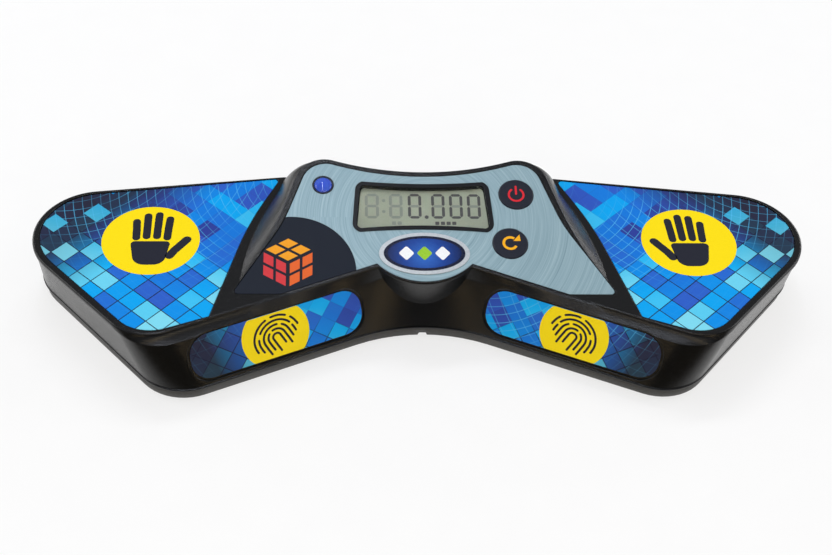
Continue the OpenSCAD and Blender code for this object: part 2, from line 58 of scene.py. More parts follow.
EYE_TURN = -0.086041, 0.788763, 0.063422  # yaw, pitch and roll, in radians
EYE_PLACE = Vector((-36.971, -400.094, 422.079)) * MM
eye = bpy.data.objects.new("eye", bpy.data.cameras.new("eye"))
bpy.context.scene.collection.objects.link(eye)
right, up, back = turned_camera(*EYE_TURN)
eye.matrix_world = Matrix([(right[i], up[i], back[i], EYE_PLACE[i]) for i in range(3)] + [(0, 0, 0, 1)])
eye.data.sensor_width = 36
eye.data.lens = 66.514
eye.data.clip_start, eye.data.clip_end = 0.01, 20
bpy.context.scene.camera = eye
bpy.context.scene.view_settings.view_transform = "Standard"


AIM = Vector((0, 0, 0.02))
DAY, COOL, WARM, AMBER = (1, 0.97, 0.92), (0.84, 0.89, 1), (1, 0.80, 0.50), (1, 0.74, 0.40)
for name, place, watts, size, tint, glints in (
    ("lamp_key", (-0.10, 0.62, 1.10), 5.6, (0.9, 0.14), (0.96, 0.98, 1), False),
    ("lamp_fill", (0.05, -0.95, 0.50), 2.6, (0.9, 0.3), DAY, False),
    ("lamp_over", (-0.10, 0.0, 1.15), 2.6, (1.2, 0.03), COOL, True),
    ("lamp_edge", (0.05, -0.72, 0.85), 1.3, (1.0, 0.04), WARM, True),
    ("lamp_left", (-0.95, 0.10, 0.50), 2.0, (0.5, 0.5), (1, 1, 1), True),
    ("lamp_right", (0.95, 0.10, 0.50), 2.0, (0.5, 0.5), (1, 1, 1), True),
    ("lamp_back_left", (-0.80, 0.70, 0.32), 1.1, (0.5, 0.12), (1, 1, 1), True),
    ("lamp_back_right", (0.80, 0.70, 0.32), 1.1, (0.5, 0.12), (1, 1, 1), True),
    ("lamp_warm_right", (0.55, -0.88, 0.07), 0.30, (0.12, 0.10), AMBER, True),
    ("lamp_warm_left", (-0.43, -0.95, 0.07), 0.22, (0.12, 0.10), AMBER, True),
):
    light = bpy.data.lights.new(name, "AREA")
    light.shape = "RECTANGLE"
    light.size, light.size_y = size
    light.energy, light.color = watts, tint
    lamp = bpy.data.objects.new(name, light)
    bpy.context.scene.collection.objects.link(lamp)
    lamp.location = place
    lamp.rotation_euler = (AIM - Vector(place)).to_track_quat("-Z", "Y").to_euler()
    lamp.visible_glossy = glints

world = bpy.data.worlds.new("studio_air")
bpy.context.scene.world = world
world.use_nodes = True
air = world.node_tree
sky = air.nodes["Background"]
sky.inputs["Color"].default_value = (0.95, 0.96, 1, 1)
# the room behind the camera is dim low down and the plastic mirrors that
way = air.nodes.new("ShaderNodeSeparateXYZ")
air.links.new(way.inputs[0], air.nodes.new("ShaderNodeTexCoord").outputs["Generated"])
shares = []
for axis, start, full in (("Z", 0.10, 0.50), ("Y", -0.35, 0.10)):
    share = air.nodes.new("ShaderNodeMapRange")
    share.inputs["From Min"].default_value, share.inputs["From Max"].default_value = start, full
    share.inputs["To Min"].default_value, share.inputs["To Max"].default_value = 0.06, 0.32
    air.links.new(share.inputs["Value"], way.outputs[axis])
    shares.append(share.outputs["Result"])
strength = air.nodes.new("ShaderNodeMath")
strength.operation = "MAXIMUM"
air.links.new(strength.inputs[0], shares[0])
air.links.new(strength.inputs[1], shares[1])
air.links.new(sky.inputs["Strength"], strength.outputs[0])


class Recipe:
    """A material under construction: its shader, and short ways to add and join nodes."""

    def __init__(self, name):
        self.material = bpy.data.materials.new(name)
        self.material.use_nodes = True
        self.tree = self.material.node_tree
        self.shader = self.tree.nodes["Principled BSDF"]

    def node(self, kind, **settings):
        made = self.tree.nodes.new(kind)
        for key, value in settings.items():
            setattr(made, key, value)
        return made

    def feed(self, socket, source):
        """Joins a source to a socket, or sets the socket where the source is a plain value."""
        if isinstance(source, bpy.types.NodeSocket):
            self.tree.links.new(source, socket)
        else:
            socket.default_value = source

    def math(self, operation, *values):
        made = self.node("ShaderNodeMath", operation=operation)
        for socket, value in zip(made.inputs, values):
            self.feed(socket, value)
        return made.outputs[0]

    def total(self, *parts):
        """The sum of two values, each times its factor."""
        return self.math("ADD", *(self.math("MULTIPLY", value, factor) for value, factor in parts))

    def along(self, point, direction, offset=0.0):
        """How far a point lies along a direction, less an offset."""
        dot = self.node("ShaderNodeVectorMath", operation="DOT_PRODUCT")
        self.feed(dot.inputs[0], point)
        dot.inputs[1].default_value = direction
        return self.math("SUBTRACT", dot.outputs["Value"], offset)

    def pair(self, u, v, w=0.0):
        made = self.node("ShaderNodeCombineXYZ")
        for socket, value in zip(made.inputs, (u, v, w)):
            self.feed(socket, value)
        return made.outputs[0]

    def noise(self, point, scale, detail=2.0, roughness=0.5):
        made = self.node("ShaderNodeTexNoise")
        self.feed(made.inputs["Vector"], point)
        made.inputs["Scale"].default_value = scale
        made.inputs["Detail"].default_value = detail
        made.inputs["Roughness"].default_value = roughness
        return made.outputs["Fac"]

    def ramp(self, value, *stops):
        """A colour for each value, from (position, colour) stops."""
        made = self.node("ShaderNodeValToRGB")
        self.feed(made.inputs[0], value)
        elements = made.color_ramp.elements
        while len(elements) < len(stops):
            elements.new(0.5)
        for element, (position, colour) in zip(elements, stops):
            element.position, element.color = position, colour
        return made.outputs["Color"]

    def mix(self, share, below, above):
        made = self.node("ShaderNodeMix", data_type="RGBA")
        self.feed(made.inputs["Factor"], share)
        self.feed(made.inputs[6], below)
        self.feed(made.inputs[7], above)
        return made.outputs[2]

    def spread(self, value, from_low, from_high, to_low=0.0, to_high=1.0):
        made = self.node("ShaderNodeMapRange")
        self.feed(made.inputs[0], value)
        for socket, number in zip(made.inputs[1:5], (from_low, from_high, to_low, to_high)):
            socket.default_value = number
        return made.outputs[0]

    def bump(self, height, depth, strength=1.0):
        made = self.node("ShaderNodeBump")
        made.inputs["Strength"].default_value = strength
        made.inputs["Distance"].default_value = depth
        self.feed(made.inputs["Height"], height)
        self.feed(self.shader.inputs["Normal"], made.outputs[0])

    def place(self):
        return self.node("ShaderNodeTexCoord").outputs["Object"]

    def finish(self, **sockets):
        for key, value in sockets.items():
            self.feed(self.shader.inputs[key.replace("_", " ")], value)
        return self.material


def ink(red, green, blue):
    """A printed colour, 0 to 255 as the eye sees it, as the light that it sends back."""
    def linear(x):
        x /= 255
        return x / 12.92 if x <= 0.04045 else ((x + 0.055) / 1.055) ** 2.4

    return (linear(red), linear(green), linear(blue), 1)


def glowing(share, surface, colour):
    """The table's surface with a share of its own light."""
    light = table_top.node("ShaderNodeEmission")
    light.inputs["Color"].default_value = colour
    both = table_top.node("ShaderNodeMixShader")
    for socket, source in zip(both.inputs, (share, surface, light.outputs[0])):
        table_top.feed(socket, source)
    return both.outputs[0]


table_top = Recipe("table_white")
seen = table_top.node("ShaderNodeLightPath")
any_view = table_top.math("MAXIMUM", seen.outputs["Is Camera Ray"], seen.outputs["Is Glossy Ray"])
any_view = table_top.math("MAXIMUM", any_view, seen.outputs["Is Transmission Ray"])
paper = table_top.noise(table_top.place(), 60, 3)
table_top.finish(Roughness=0.75)
table_top.feed(
    table_top.shader.inputs["Base Color"],
    table_top.ramp(paper, (0.3, (0.86, 0.86, 0.86, 1)), (0.7, (0.89, 0.89, 0.89, 1))),
)
white = glowing(table_top.math("MULTIPLY", any_view, 0.72), table_top.shader.outputs[0], (1, 1, 1, 1))
# a patch of table in front of the timer is painted dark brown for glossy rays only: a painted shade that the
# plastic's front walls mirror
table_x = table_top.math("ABSOLUTE", table_top.along(table_top.place(), (1, 0, 0)))
table_y = table_top.along(table_top.place(), (0, 1, 0))
before = table_top.spread(table_y, -0.046, -0.062)
beside = table_top.spread(table_x, 0.50, 0.70, 1.0, 0.0)
painted_shade_in_reflections = table_top.math("MULTIPLY", table_top.math("MULTIPLY", before, beside), seen.outputs["Is Glossy Ray"])
# the dark brown emission here is painted shade, seen only in reflections
table_shader = glowing(painted_shade_in_reflections, white, (0.10, 0.085, 0.06, 1))
table_top.feed(table_top.tree.nodes["Material Output"].inputs[0], table_shader)
bpy.ops.object.select_all(action="DESELECT")
bpy.ops.mesh.primitive_plane_add(size=8, location=(0, 0, -0.00002))
table = bpy.context.object
table.name = "table"
table.data.materials.append(table_top.material)

# ---- upper housing --------------------------------------------------------
# One moulded shell of black ABS with a fine spark-eroded grain: two swept
# wings with a rolled rim, and the raised console with its round nose between
# them. Pockets for the labels and openings for the controls are moulded in.
MID_Y, PAD_Z = 9.866, 27.0  # the line of the hand discs, and the tops of the hand labels
FACE_RISE, FACE_TILT = 7.5, math.radians(14.5)
TILT_COS, TILT_SIN, TILT_TAN = math.cos(FACE_TILT), math.sin(FACE_TILT), math.tan(FACE_TILT)
PART_Z, SHOULDER_Z, RIM_Z = -21.2, -2.6, 0.4
WALL = 2.2
SWEEP = math.radians(23.7)
HALF = 143.2


def unit(v):
    return v / np.hypot(*v)


def crossed(a, b):
    return a[0] * b[1] - a[1] * b[0]


def inward(u):
    return np.array((-u[1], u[0]))


def meet(p, u, q, v):
    return p + u * crossed(q - p, v) / crossed(u, v)


def rounded(corners, radii, steps, inset=0.0):
    """A closed outline with its corners rounded, moved inwards by inset."""
    corners = np.array(corners, float)
    n = len(corners)
    way = [unit(corners[(i + 1) % n] - corners[i]) for i in range(n)]
    line = []
    for i in range(n):
        a, b = way[i - 1], way[i]
        corner = meet(corners[i] + inward(a) * inset, a, corners[i] + inward(b) * inset, b)
        bend = crossed(a, b)
        side = math.copysign(1, bend)
        radius = max(0.2, radii[i] - inset * side)
        half = math.asin(min(1, abs(bend))) / 2
        if a @ b < 0:
            half = math.pi / 2 - half
        centre = corner + unit(b - a) * radius / math.cos(half)
        start = -inward(a) * side
        for k in range(steps[i] + 1):
            t = side * 2 * half * k / steps[i]
            c, s = math.cos(t), math.sin(t)
            turned_start = np.array((start[0] * c - start[1] * s, start[0] * s + start[1] * c))
            line.append(centre + radius * turned_start)
    return np.array(line)


def both_sides(right_half):
    return list(right_half) + [(-x, y) for x, y in reversed(right_half[1:-1])]


def both_counts(right_half):
    return list(right_half) + list(reversed(right_half[1:-1]))


def ring_corners(front, end, end_angle, behind, rear):
    """Corners of a wing outline from its front, end, back and rear lines."""
    def line(x, y, degrees):
        a = math.radians(degrees)
        return np.array((x, y), float), np.array((math.cos(a), math.sin(a)))

    f, e = line(0, front, -math.degrees(SWEEP)), line(HALF, end, end_angle)
    b, r = line(0, behind, -7.06), line(0, rear, 11)
    return both_sides([tuple(p) for p in (f[0], meet(*f, *e), meet(*e, *b), meet(*b, *r), r[0])])


WING_STEPS = both_counts([16, 16, 28, 6, 24])
RIM = ring_corners(-6.2, -6.4, 47.4, 41.75, 25.4), both_counts([40, 17.5, 23.9, 10, 150])
SHOULDER = ring_corners(-10.3, -4.8, 48.1, 41.3, 25.1), both_counts([45, 18.5, 22.8, 10, 150])
SKIRT = ring_corners(-18.7, 0.23, 48.7, 40.9, 24.8), both_counts([59.8, 19.5, 19.4, 10, 150])


def wing(shape, inset=0.0, steps=WING_STEPS):
    return rounded(shape[0], shape[1], steps, inset)


def raised(line, z):
    """An outline in plan, lifted to a height."""
    return np.column_stack((line, np.full(len(line), float(z))))


def between(low, high, share):
    return low * (1 - share) + high * share


def settled(points):
    """Points about the hand-disc line, in millimetres, as the frame's metres."""
    return (np.asarray(points, float) + (0, MID_Y, PAD_Z)) * MM


def deselect():
    if bpy.context.object and bpy.context.object.mode != "OBJECT":
        bpy.ops.object.mode_set(mode="OBJECT")
    bpy.ops.object.select_all(action="DESELECT")


def pick(obj):
    deselect()
    obj.select_set(True)
    bpy.context.view_layer.objects.active = obj
    return obj


@contextmanager
def editing():
    """Edit mode on the active object, with all of its mesh selected."""
    bpy.ops.object.mode_set(mode="EDIT")
    bpy.ops.mesh.select_all(action="SELECT")
    yield
    bpy.ops.object.mode_set(mode="OBJECT")


def grown(name, rings):
    """A closed body grown from its lowest ring, with one extrude up to each ring above it."""
    deselect()
    bpy.ops.mesh.primitive_circle_add(vertices=len(rings[0]), fill_type="NGON")
    body = bpy.context.object
    body.name = name
    mesh = body.data
    last = np.asarray(rings[0], float)
    for vertex, point in zip(mesh.vertices, last):
        vertex.co = point
    order = np.arange(len(last))
    for ring in rings[1:]:
        before = len(mesh.vertices)
        bpy.ops.object.mode_set(mode="EDIT")
        bpy.ops.mesh.extrude_region_move()
        bpy.ops.object.mode_set(mode="OBJECT")
        partner = {}
        for edge in mesh.edges:
            a, b = edge.vertices
            if a < before <= b:
                partner[a] = b
            elif b < before <= a:
                partner[b] = a
        order = np.array([partner[i] for i in order])
        for index, point in zip(order, ring):
            mesh.vertices[index].co = point
    with editing():
        bpy.ops.mesh.normals_make_consistent(inside=False)
    return body


def carve(body, tool, operation="DIFFERENCE"):
    """Cuts a tool out of a body, or joins it on, and takes the tool away."""
    cut = body.modifiers.new("cut", "BOOLEAN")
    cut.operation, cut.solver, cut.object = operation, "EXACT", tool
    pick(body)
    bpy.ops.object.modifier_apply(modifier=cut.name)
    bpy.data.objects.remove(tool)
    return body


SAME_POINT = 0.000002  # vertices closer than this are one


def smoothed(obj, degrees=32):
    """Shades the curves smooth and leaves the creases sharp."""
    pick(obj)
    with editing():
        bpy.ops.mesh.remove_doubles(threshold=SAME_POINT)
    bpy.ops.object.shade_smooth_by_angle(angle=math.radians(degrees))
    even = obj.modifiers.new("even", "WEIGHTED_NORMAL")
    even.keep_sharp = True
    even.weight = 60
    bpy.ops.object.modifier_apply(modifier=even.name)
    return obj


def rim_rings():
    """The outer wall from the parting line, up over the rolled rim, to the flat top."""
    wall = [raised(wing(SKIRT, -0.30), PART_Z), raised(wing(SKIRT, -0.34), PART_Z + 0.12),
            raised(wing(SKIRT, -0.34), PART_Z + 0.48), raised(wing(SKIRT, -0.2), PART_Z + 0.66)]
    for z in (PART_Z + 0.75, -18.0, -15.0, -12.0, -9.0, -6.0):
        share = (SHOULDER_Z - z) / (SHOULDER_Z - PART_Z)
        wall.append(raised(between(wing(SHOULDER), wing(SKIRT), share), z))
    wall.append(raised(wing(SHOULDER), SHOULDER_Z))
    # the bead bulges a little past the straight line from shoulder to rim
    bead = (0.30, -2.25, 0.10), (0.58, -1.75, 0.16), (0.80, -1.2, 0.14), (0.94, -0.65, 0.06)
    for share, z, swell in bead:
        wall.append(raised(between(wing(SHOULDER, -swell), wing(RIM, -swell), share), z))
    for inset, z in ((0.0, -0.28), (0.10, -0.02), (0.28, 0.18), (0.52, 0.32), (0.80, 0.385), (1.05, 0.40)):
        wall.append(raised(wing(RIM, inset), z))
    return wall


upper = grown("upper_shell", [settled(r) for r in rim_rings()])

# the console grows out of the wings: its flank swells, then turns up to the face
CONSOLE_STEPS = both_counts([8, 3, 24, 16, 20])
TOE = (
    both_sides([(0, -10.2), (76.6, -10.2 - 76.6 * math.tan(SWEEP)), (64.45, 13.28), (52.6, 34.2), (0, 24)]),
    both_counts([20, 1, 128, 4, 150]),
)
CREST = (
    both_sides([(0, -10.8), (77, -37.6), (56.66, -7.54), (43.9, 31.7), (0, 18.7)]),
    both_counts([20, 1, 137, 11.5, 114]),
)


def face_z(y):
    return FACE_RISE + TILT_TAN * y


def dropped(line, drop):
    """An outline in plan, laid a little below the tilted face."""
    return np.column_stack((line, face_z(line[:, 1]) - drop))


def console_rings():
    toe, crest = wing(TOE, 0.2, CONSOLE_STEPS), wing(CREST, 0.0, CONSOLE_STEPS)
    rings = [raised(toe, SHOULDER_Z)]
    for t in np.linspace(0.08, 0.92, 11):
        lift = 1 - (1 - t) ** 1.7
        line = between(toe, crest, t)
        z = SHOULDER_Z * (1 - lift) + (face_z(crest[:, 1]) - 1.3) * lift
        rings.append(np.column_stack((line, z)))
    rings.append(dropped(crest, 1.3))
    for inset, drop in ((0.0, 0.75), (0.04, 0.50), (0.13, 0.27), (0.28, 0.09), (0.48, 0.0)):
        rings.append(dropped(wing(CREST, inset, CONSOLE_STEPS), drop))
    return rings


def on_face(points):
    """Points across, up and out of the console face as points about the hand-disc line."""
    p = np.asarray(points, float)
    return np.column_stack((
        p[:, 0],
        p[:, 1] * TILT_COS - p[:, 2] * TILT_SIN,
        FACE_RISE + p[:, 1] * TILT_SIN + p[:, 2] * TILT_COS,
    ))


console = grown("console_block", [settled(r) for r in console_rings()])
carve(upper, console, "UNION")

NOSE_R, NOSE_V = 24.9, 0.6 / TILT_COS


def nose_line(radius, back_v, steps):
    """The round front of the nose on the face, closed by a straight back."""
    turn = np.linspace(math.pi, 2 * math.pi, steps)
    arc = [(radius * math.cos(a), NOSE_V + radius * math.sin(a)) for a in turn]
    return arc + [(radius, back_v), (-radius, back_v)]


def nose_ring(radius, w):
    return settled(on_face([(x, v, w) for x, v in nose_line(radius, 6.0, 97)]))


nose_steps = [(0, -18.4), (0, -1.1), (0.05, -0.7), (0.17, -0.38), (0.36, -0.14), (0.6, -0.02)]
nose = grown("nose_block", [nose_ring(NOSE_R - inset, w) for inset, w in nose_steps])
carve(upper, nose, "UNION")


def flipped(points, side):
    """The same points for the right hand, or mirrored for the left."""
    points = np.array(points, float)
    if side < 0:
        points = points[::-1] * ((-1, 1, 1)[: points.shape[1]])
    return points


def bend(a, corner, b, steps=5):
    """A soft turn from a to b round a corner."""
    a, corner, b = (np.array(p, float) for p in (a, corner, b))
    return [a * (1 - t) ** 2 + corner * 2 * t * (1 - t) + b * t * t for t in np.linspace(0, 1, steps + 1)]


# how far the front wall comes forwards for each mm down
front_drop = (SHOULDER[0][0][1] - SKIRT[0][0][1]) / (SHOULDER_Z - PART_Z)
# the lip's stand-off, its depth, and the x from which it sinks into the rim
PROUD, LIP_DEPTH, LIP_END = 0.05, 4.0, 58


def lip_section(x):
    """The front edge cut straight from front to back, as depth and height."""
    (_, crest_0), (crest_x, crest_1) = CREST[0][:2]
    crest_y = crest_0 + x * (crest_1 - crest_0) / crest_x
    edge_y = min(RIM[0][0][1] - x * math.tan(SWEEP), crest_y) - 0.8 * PROUD
    edge_z = max(RIM_Z, face_z(edge_y)) + 0.2 * PROUD
    shoulder_y = SHOULDER[0][0][1] - x * math.tan(SWEEP) - PROUD
    shoulder, edge = np.array((shoulder_y, SHOULDER_Z)), np.array((edge_y, edge_z))
    up = unit(edge - shoulder)
    back = unit(np.array((1.0, TILT_TAN if edge_z > RIM_Z + 0.02 else 0.0)))
    low = np.array((shoulder_y - front_drop * 0.7, SHOULDER_Z - 0.7))
    line = [(edge_y + LIP_DEPTH, -5.4), (shoulder_y - front_drop * 2.3 + 0.12, SHOULDER_Z - 2.3)]
    line += bend(low, shoulder, shoulder + up * 0.8)
    line += bend(edge - up * 0.75, edge, edge + back * 0.65, 7)
    line += [edge + back * 1.1 - (0, 0.06), (edge_y + LIP_DEPTH, edge_z - 1.6)]
    sink = max(0.0, x - LIP_END) * 0.11
    return [(x, y + sink, z - sink * 0.6) for y, z in line]


# one clean front edge runs from the nose along each wing
for side in (1, -1):
    stations = np.concatenate((np.linspace(13, 48, 15), np.linspace(49, 53, 5), np.linspace(55, 65, 6)))
    lip = grown("front_lip", [settled(flipped(np.array(lip_section(x)), side)) for x in stations])
    carve(upper, lip, "UNION")

# hollow inside
WING_FEW = both_counts([6, 8, 12, 3, 8])
hollow = grown("hollow", [
    settled(raised(wing(SKIRT, WALL, WING_FEW), PART_Z - 1)),
    settled(raised(wing(SKIRT, WALL, WING_FEW), PART_Z + 1)),
    settled(raised(wing(SHOULDER, WALL + 0.2, WING_FEW), SHOULDER_Z - 1.2)),
    settled(raised(wing(RIM, WALL + 0.6, WING_FEW), RIM_Z - 2.4)),
])
carve(upper, hollow)


def stretched(line):
    """Plan coordinates as distances along the face."""
    return [(x, y / TILT_COS) for x, y in line]


def face_block(name, outlines):
    """A body grown square to the face, from (outline, distance out of the face) pairs."""
    return grown(name, [settled(on_face([(x, v, w) for x, v in line])) for line, w in outlines])


CEILING = 0.7 + WALL
well = rounded(
    both_sides([(0, -6.2), (62, -27.6), (51.3, -6.2), (40.4, 27.4), (0, 15)]),
    both_counts([12, 2, 120, 8, 112]), both_counts([6, 3, 12, 8, 12]),
)
carve(upper, face_block("well", [(stretched(well), -CEILING - 22), (stretched(well), -CEILING)]))
bore = nose_line(NOSE_R - 3.1, 4, 49)
carve(upper, face_block("nose_bore", [(bore, -CEILING - 15), (bore, -CEILING)]))

# pockets for the hand labels, with a softly rounded lip
HAND = (
    [(76.9, -38.3), (RIM[0][1][0] - 1.2, RIM[0][1][1] + 3.4), (RIM[0][2][0] - 5, RIM[0][2][1] - 1.5),
     (53.5, 34.0), (64.6, 9.5)],
    [0.6, 14.9, 21.7, 1.2, 160],
)
HAND_STEPS = [4, 16, 24, 5, 20]

for side in (1, -1):
    lip = [(-0.25, -0.3), (-0.25, 0.12), (-0.30, 0.24), (-0.42, 0.35), (-0.6, 0.42), (-0.6, 2.0)]
    carve(upper, grown("hand_pocket", [
        settled(flipped(raised(rounded(*HAND, HAND_STEPS, inset), z), side)) for inset, z in lip
    ]))

# pockets for the finger labels in the sloping front walls
LABEL_Z, FINGER_X = -10.8, 52.8
LEAN = math.atan(front_drop * math.cos(SWEEP))
finger_y = SHOULDER[0][0][1] - FINGER_X * math.tan(SWEEP) - front_drop * (SHOULDER_Z - LABEL_Z)
finger_frame = (
    Matrix.Translation((FINGER_X, finger_y, LABEL_Z))
    @ Matrix.Rotation(-SWEEP, 4, "Z")
    @ Matrix.Rotation(math.pi / 2 - LEAN, 4, "X")
)


def on_wall(points, side):
    """Points out along the wing, up the wall and out of it as points about the hand-disc line."""
    moved = np.array([finger_frame @ Vector(p) for p in points])
    return flipped(moved, side)


def finger_line(inset):
    l, h, r = 65.5 / 2 - inset, 17.4 / 2 - inset, 7.4 - inset
    return rounded([(-l, -h), (l, -h), (l, h), (-l, h)], [r] * 4, [14] * 4)


for side in (1, -1):
    lip = [(-0.8, -0.8), (-0.8, -0.30), (-0.86, -0.16), (-1.0, -0.05), (-1.25, 0.02), (-1.25, 4.0)]
    carve(upper, grown("finger_pocket", [
        settled(on_wall(raised(finger_line(inset), w), side)) for inset, w in lip
    ]))

# the face: plate pocket, display opening and the round holes
PLATE = (
    both_sides([(0, -9.05), (52, -27.55), (69.3, -27.55), (51.5, 1.04), (41.5, 28.9), (0, 16.6)]),
    both_counts([2, 3, 1.2, 60, 9, 112]),
)
PLATE_STEPS = both_counts([4, 4, 6, 18, 16, 24])
PLATE_NOSE_R = NOSE_R - 1.1
LENS_AT, POWER_AT, RESET_AT = (-36.93, 17.58 / TILT_COS), (35.05, 13.85 / TILT_COS), (31.65, -6.88 / TILT_COS)
LCD_V, LCD_W, LCD_H = 8.45 / TILT_COS, 51.0, 22.6


def disc(centre, radius, steps=64):
    return [(centre[0] + radius * math.cos(a), centre[1] + radius * math.sin(a))
            for a in np.arange(steps) * 2 * math.pi / steps]


lip = [(-0.15, -0.7), (-0.15, -0.2), (-0.2, -0.09), (-0.32, -0.02), (-0.55, 0.03), (-0.55, 3.0)]
carve(upper, face_block("plate_pocket", [(stretched(rounded(*PLATE, PLATE_STEPS, i)), w) for i, w in lip]))
carve(upper, face_block("plate_nose_pocket", [(nose_line(PLATE_NOSE_R - i, 6, 81), w) for i, w in lip]))


def display_line(inset):
    """The display's outline: wider at the bottom, its long sides pinched in the middle."""
    w, h = LCD_W / 2 - inset, LCD_H / 2 - inset
    line = rounded([(-w - 0.9, -h), (w + 0.9, -h), (w - 0.7, h), (-w + 0.7, h)], [4 - inset] * 4, [10] * 4)
    dense = []
    for i, p in enumerate(line):
        q = line[(i + 1) % len(line)]
        n = 24 if abs(q[0] - p[0]) > w else 1
        dense += [between(p, q, k / n) for k in range(n)]
    pinch = 1.3
    out = []
    for x, v in dense:
        sag = pinch * max(0.0, 1 - (x / w) ** 2)
        if abs(abs(v) - h) < 0.01:
            v = math.copysign(h - sag, v)
        out.append((x, v + LCD_V))
    return out


carve(upper, face_block("display_opening", [(display_line(1.1), -CEILING - 1), (display_line(1.1), 1)]))
for centre, radius in ((POWER_AT, 6.64), (RESET_AT, 6.64), (LENS_AT, 3.4)):
    hole = disc(centre, radius)
    carve(upper, face_block("round_opening", [(hole, -CEILING - 1), (hole, 1)]))

# the bore that the data socket sits in, through the back wall
JACK_Z, JACK_WALL_Y, JACK_R = -6.6, 27.2, 3.6
socket_hole = [
    settled([(-(JACK_R + 0.1) * math.cos(a), y, JACK_Z + (JACK_R + 0.1) * math.sin(a))
             for a in np.arange(64) * 2 * math.pi / 64])
    for y in (JACK_WALL_Y - 6, JACK_WALL_Y + 8)
]
carve(upper, grown("socket_hole", socket_hole))
smoothed(upper)


def grained_plastic(name, low, high, rough, shine=0.45):
    """Moulded plastic with a fine spark-eroded grain, its high spots a little paler."""
    r = Recipe(name)
    place = r.place()
    grain, depth = 0.00028, 0.00005  # metres
    fine = r.noise(place, 1 / grain, 3, 0.62)
    broad = r.noise(place, 38, 2)
    r.bump(fine, depth, 1.0)
    speck = r.spread(fine, 0.42, 0.72)
    colour = r.mix(speck, low, high)
    worn = r.spread(broad, 0.3, 0.7, rough - 0.035, rough + 0.035)
    return r.finish(Base_Color=colour, Roughness=worn, Specular_IOR_Level=shine)


def dress(piece, material, body="timer"):
    """Gives a piece its material, and the body that it rides."""
    piece.data.materials.clear()
    piece.data.materials.append(material)
    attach(piece, body)
    return piece


black_grain = grained_plastic("black_grain", (0.0010, 0.0011, 0.0013, 1), (0.0050, 0.0055, 0.0065, 1), 0.23)
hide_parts("upper_housing")
dress(upper, black_grain)

# ---- lower housing, door, screws and feet ---------------------------------
# A shallow tray of dark grey ABS closes the shell from below. It carries the
# battery box with its push-off door, ten screws in sunk seats and six glued
# rubber feet. Each is the solid's own skin; the door, screws and feet have their edges broken.


def skin_of(node, name, edge, segments=2, join_flats=True):
    """A node's solid as one clean skin: doubles merged, flats joined, sharp edges broken."""
    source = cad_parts[node]
    piece = bpy.data.objects.new(name, source.data.copy())
    bpy.context.scene.collection.objects.link(piece)
    pick(piece)
    with editing():
        bpy.ops.mesh.remove_doubles(threshold=SAME_POINT)
        if join_flats:
            bpy.ops.mesh.dissolve_limited(angle_limit=math.radians(0.4))
    piece.data.materials.clear()
    if edge:
        broken = piece.modifiers.new("broken", "BEVEL")
        broken.width, broken.segments = edge, segments
        broken.limit_method, broken.angle_limit = "ANGLE", math.radians(30)
        bpy.ops.object.modifier_apply(modifier=broken.name)
    smoothed(piece, 35)
    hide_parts(node)
    return piece


grey_grain = grained_plastic(
    "grey_grain", (0.052, 0.052, 0.051, 1), (0.090, 0.089, 0.087, 1), 0.45, shine=0.4
)
dress(skin_of("lower_housing", "lower_shell", 0.0, join_flats=False), grey_grain)
dress(skin_of("battery_door", "battery_cover", 0.00012), grey_grain, "door")


def metal(name, colour, rough, scale=900):
    """Plated steel with faint rolling marks."""
    r = Recipe(name)
    place = r.place()
    marks = r.noise(place, scale, 3)
    r.bump(marks, 0.000008, 0.5)
    shade = r.mix(marks, colour, tuple(c * 0.8 for c in colour[:3]) + (1,))
    worn = r.spread(marks, 0.3, 0.7, rough - 0.05, rough + 0.07)
    return r.finish(Base_Color=shade, Metallic=1.0, Roughness=worn)


plated = metal("plated_steel", (0.56, 0.56, 0.57, 1), 0.32)
dress(skin_of("housing_screws", "case_screws", 0.0001), plated)

rubber = Recipe("foot_rubber")
dust = rubber.noise(rubber.place(), 700, 4, 0.6)
rubber.bump(dust, 0.00003, 0.6)
rubber.finish(Base_Color=rubber.mix(dust, (0.014, 0.014, 0.014, 1), (0.045, 0.044, 0.042, 1)), Roughness=0.82)
dress(skin_of("rubber_feet", "foot_pads", 0.00018, 3), rubber.material)

# ---- face plate -----------------------------------------------------------
# A thin aluminium plate glued in the pocket of the face. It is turned in fine
# rings round the display, tinted pale blue-grey, and a dark disc is printed
# over its left corner. The corner print carries a plain block sign.
FACE_RIGHT = Vector((1, 0, 0))
FACE_UP = Vector((0, TILT_COS, TILT_SIN))
FACE_ORIGIN = Vector(settled([(0, 0, FACE_RISE)])[0])


def face_coordinates(r):
    """Distances across and up the face, in metres, for a material."""
    place = r.place()
    return (
        r.along(place, FACE_RIGHT, FACE_ORIGIN.dot(FACE_RIGHT)),
        r.along(place, FACE_UP, FACE_ORIGIN.dot(FACE_UP)),
        place,
    )


def distance_to(r, u, v, centre):
    du, dv = r.math("SUBTRACT", u, centre[0] * MM), r.math("SUBTRACT", v, centre[1] * MM)
    return r.math("SQRT", r.total((du, du), (dv, dv))), du, dv


turned = Recipe("turned_plate")
u, v, place = face_coordinates(turned)
reach, du, dv = distance_to(turned, u, v, (2, 4))
angle = turned.math("ARCTAN2", dv, du)


def plate_rings(per_metre, per_radian, roughness):
    point = turned.pair(turned.math("MULTIPLY", reach, per_metre), turned.math("MULTIPLY", angle, per_radian))
    return turned.noise(point, 1, 3, roughness)


